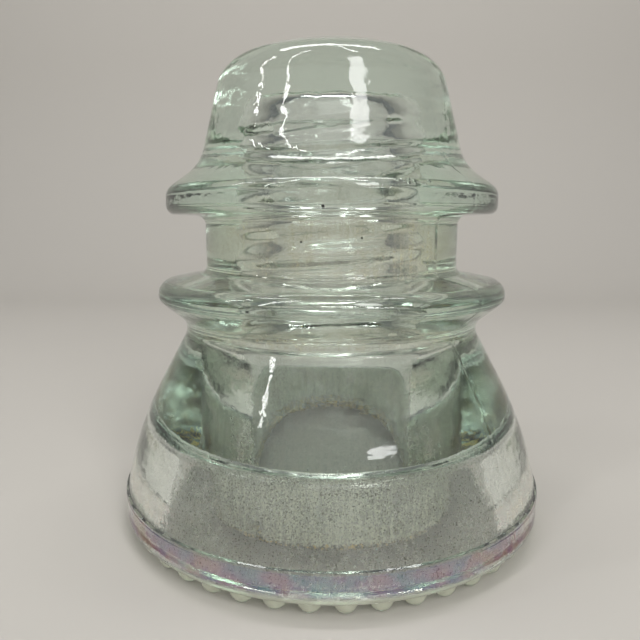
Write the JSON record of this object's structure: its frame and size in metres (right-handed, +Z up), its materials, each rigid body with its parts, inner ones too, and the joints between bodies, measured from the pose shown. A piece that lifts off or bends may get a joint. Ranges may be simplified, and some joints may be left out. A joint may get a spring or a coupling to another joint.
{
  "type": "glass insulator",
  "caption": "Pressed-glass pin-type line insulator with a domed crown, a wire groove between two flanges, a double petticoat skirt with a beaded rim, and a blind threaded pinhole over the petticoat's wide bore.",
  "frame": {"origin": "centre of the ring of drip points, in the plane that the insulator stands on", "axes": "+Z up along the axis of the pinhole towards the crown; the form is round about Z, and -Y is the side that the picture shows"},
  "size_m": [0.0922, 0.092, 0.1015],
  "materials": {
    "pressed_glass": "clear, fire polished, slightly green"
  },
  "bodies": {
    "root": {"insulator": "pressed_glass"}
  },
  "joints": []
}
